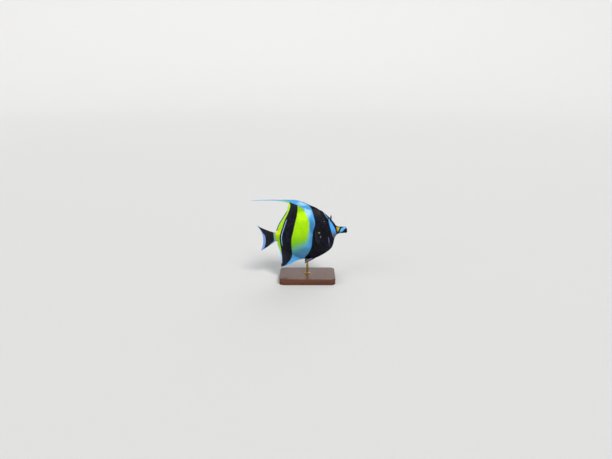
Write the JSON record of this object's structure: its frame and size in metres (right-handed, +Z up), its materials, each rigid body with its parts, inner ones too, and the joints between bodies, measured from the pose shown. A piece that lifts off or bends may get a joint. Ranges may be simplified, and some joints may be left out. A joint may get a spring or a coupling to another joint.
{
  "type": "moorish idol fish model",
  "caption": "Life-size, still model of a banded, disc-shaped reef fish with a long back-fin streamer, held over a flat display base by one rod.",
  "frame": {"origin": "middle of the whole model's box in X and Y, on the underside of the base", "axes": "+X the way the fish faces, +Y to the fish's left, +Z up"},
  "size_m": [0.1936, 0.078, 0.1654],
  "materials": {
    "body_skin": "lime yellow, sky blue and black bands, fine scales, wet gloss",
    "black_skin": "near black with a sky blue face stripe, wet gloss",
    "snout_skin": "sky blue with a yellow saddle and a black mouth, wet gloss",
    "median_fins": "rayed, with the body's bands running on over them",
    "tail_fin": "black, rayed, with a pale hind edge",
    "filament": "pale blue, satin",
    "pectoral_fins": "dusky, thin and rayed",
    "pelvic_fins": "black with pale streaks",
    "eyes": "dark, glassy gloss",
    "horns": "dark, satin",
    "base_wood": "dark stained hardwood, satin varnish",
    "rod_brass": "brushed"
  },
  "bodies": {
    "root": {"head": "black_skin", "gill_cover_left": "black_skin", "gill_cover_right": "black_skin", "snout": "snout_skin", "torso": "body_skin", "tail_base": "body_skin", "dorsal_fin": "median_fins", "anal_fin": "median_fins", "caudal_fin": "tail_fin", "dorsal_filament": "filament", "pectoral_fin_left": "pectoral_fins", "pectoral_fin_right": "pectoral_fins", "pelvic_fin_left": "pelvic_fins", "pelvic_fin_right": "pelvic_fins", "eye_left": "eyes", "eye_right": "eyes", "horn_left": "horns", "horn_right": "horns", "stand_base": "base_wood", "stand_rod": "rod_brass"}
  },
  "joints": []
}
